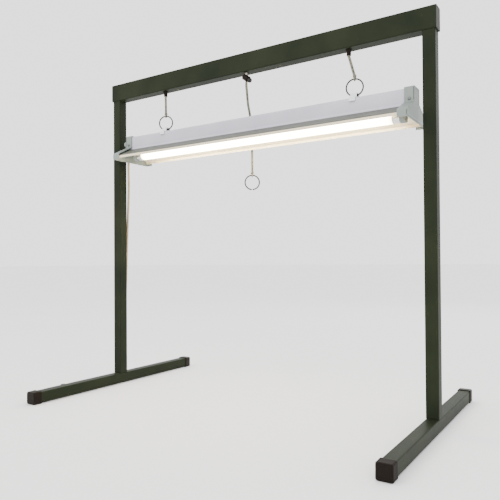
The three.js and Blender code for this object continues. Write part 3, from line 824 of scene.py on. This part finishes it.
CAP_HEAD_R, CAP_HEAD = 2.6, 1.5
BAR_HEAD_R, BAR_HEAD = 4.4, 2.7
for side, _ in SIDES:
    name = f"end_cap_screw_{side}"
    middle = centre(name)
    at = turn_to((0, -1, 0), Vector((middle.x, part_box(name)[1][1] / MM, middle.z)))
    piece(name + "_head", *placed(screw_head(CAP_HEAD_R, CAP_HEAD), at), steel, "lamp",
          (name,), "fastener_steel")
    name = f"crossbar_screw_{side}"
    middle = centre(name)
    at = turn_to((0, 1, 0), Vector((middle.x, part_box(name)[1][1] / MM - BAR_HEAD, middle.z)))
    shank = turned([(2.1, -5.0), (2.1, 0.1)], 20)
    piece(name + "_head", *placed(together(screw_head(BAR_HEAD_R, BAR_HEAD), shank), at), steel,
          "stand", (name,), "fastener_steel")

# ---- fluorescent tube ----
lo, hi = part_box("tube_glass")
x0, x1 = lo[0] / MM, hi[0] / MM
tube_at = Vector(((x0 + x1) / 2, 0, centre("tube_glass").z))
tube_half = (x1 - x0) / 2
TUBE_R = 8.0
profile = [(7.4, -tube_half), (7.9, -tube_half + 0.6), (TUBE_R, -tube_half + 2)]
profile += [(TUBE_R, -tube_half + 2 + (2 * tube_half - 4) * k / 12) for k in range(1, 12)]
profile += [(TUBE_R, tube_half - 2), (7.9, tube_half - 0.6), (7.4, tube_half)]
piece("tube_glass_body", *placed(turned(profile, 48), turn_to((1, 0, 0), tube_at)), glass,
      "tube", ("tube_glass",), "tube_glass")
sleeve = turned([
    (7.6, 0), (7.9, 0.15), (TUBE_R, 0.5), (TUBE_R, 2.2), (7.75, 2.5), (7.75, 3.1), (TUBE_R, 3.4),
    (TUBE_R, 11.2), (7.8, 11.75), (7.3, 12.0), (5.6, 12.0), (5.5, 11.7), (0, 11.7),
], 48)
pin = turned([(1.1, 11), (1.1, 15.8), (0.95, 16.3), (0.6, 16.6)], 16)
PIN_Y = 2.4
pins = [placed(pin, Matrix.Translation((0, y, 0))) for y in (-PIN_Y, PIN_Y)]
for side, way in SIDES:
    name = f"tube_ferrule_{side}"
    lo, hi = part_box(name)
    inner = (lo[0] if way > 0 else hi[0]) / MM
    at = turn_to((way, 0, 0), Vector((inner, 0, tube_at.z)))
    piece(name + "_sleeve", *placed(together(sleeve, *pins), at), ferrule, "tube",
          (name,), "ferrule_metal")

# ---- power inlet and strain relief ----
knob_at = turn_to((-1, 0, 0), Vector((-295.3, 0, 502)))
knob = turned([
    (3.3, -4), (3.3, -0.2), (6.0, 0.0), (6.2, 0.3), (6.2, 2.4), (5.85, 2.7), (5.85, 3.5),
    (6.2, 3.8), (6.2, 10.2), (6.0, 11.3), (5.3, 12.1), (4.2, 12.4), (0, 12.4),
], 40, ribs(20, 0.02, (8,)))
piece("inlet_knob", *placed(knob, knob_at), white_plastic, "lamp",
      ("power_inlet",), "white_plastic")
relief = [(2.4, -21), (3.1, -20.9), (3.2, -20.4)]
for k in range(5):
    z = -19.6 + 3.1 * k
    base = 3.2 + 0.19 * k
    relief += [(base, z), (base, z + 1.5), (base - 0.45, z + 1.75), (base - 0.45, z + 2.6),
               (base + 0.1, z + 2.85)]
relief += [(4.2, -3.4), (4.2, -0.2), (3.9, 0.0)]
relief_at = Matrix.Translation((-303.5, 3, 495.3))
piece("relief_sleeve", *placed(turned(relief, 32), relief_at), jacket, "lamp",
      ("strain_relief",), "mains_jacket")

# ---- CAD nodes that keep their shape ----
KEPT = [
    (paint, ("foot_", "upright_left", "upright_right", "crossbar")),
    (steel, ("upright_nut_", "foot_bolt_")),
    (cap, ("crossbar_end_",)),
    (inner_cord, ("cord_run_", "cord_knot")),
    (white_plastic, ("lampholder_", "pin_rotor_", "ballast")),
]
for node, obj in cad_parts.items():
    for material, starts in KEPT:
        if node.startswith(starts):
            for slot_of in obj.material_slots:
                slot_of.material = material
for node in ("lampholder_left", "lampholder_right"):
    bevel_edges(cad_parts[node], 0.5, 40)

# ---- floor and light ----
FLOOR_REACH, FLOOR_Z = 40, -0.0002  # metres; just under the feet
floor_mesh = bpy.data.meshes.new("floor")
floor_corners = [(x * FLOOR_REACH, y * FLOOR_REACH, FLOOR_Z)
                 for x, y in ((-1, -1), (1, -1), (1, 1), (-1, 1))]
floor_mesh.from_pydata(floor_corners, [], [(0, 1, 2, 3)])
floor = bpy.data.objects.new("floor", floor_mesh)
floor_material, _ = grained(
    "floor", (0.90, 0.90, 0.90), (0.92, 0.92, 0.92), (0.75, 0.85), 40, 0.0001, patch=2)
floor_mesh.materials.append(floor_material)
bpy.context.scene.collection.objects.link(floor)

world = bpy.data.worlds.new("studio")
world.use_nodes = True
background = world.node_tree.nodes["Background"]
background.inputs["Color"].default_value = (1.0, 1.0, 1.0, 1)
background.inputs["Strength"].default_value = 2.2
bpy.context.scene.world = world


def area_light(name, at, target, size, power, colour=(1, 1, 1)):
    data = bpy.data.lights.new(name, "AREA")
    data.size = size
    data.energy = power
    data.color = colour
    light = bpy.data.objects.new(name, data)
    light.location = at
    light.rotation_euler = (Vector(target) - Vector(at)).to_track_quat("-Z", "Y").to_euler()
    bpy.context.scene.collection.objects.link(light)


area_light("key", (-0.9, -1.8, 1.9), (0, 0, 0.35), 1.4, 20)
area_light("fill", (2.0, -0.6, 1.2), (0, 0, 0.3), 1.6, 3)
area_light("back", (0.2, 1.9, 1.6), (0, 0, 0.4), 1.4, 12)
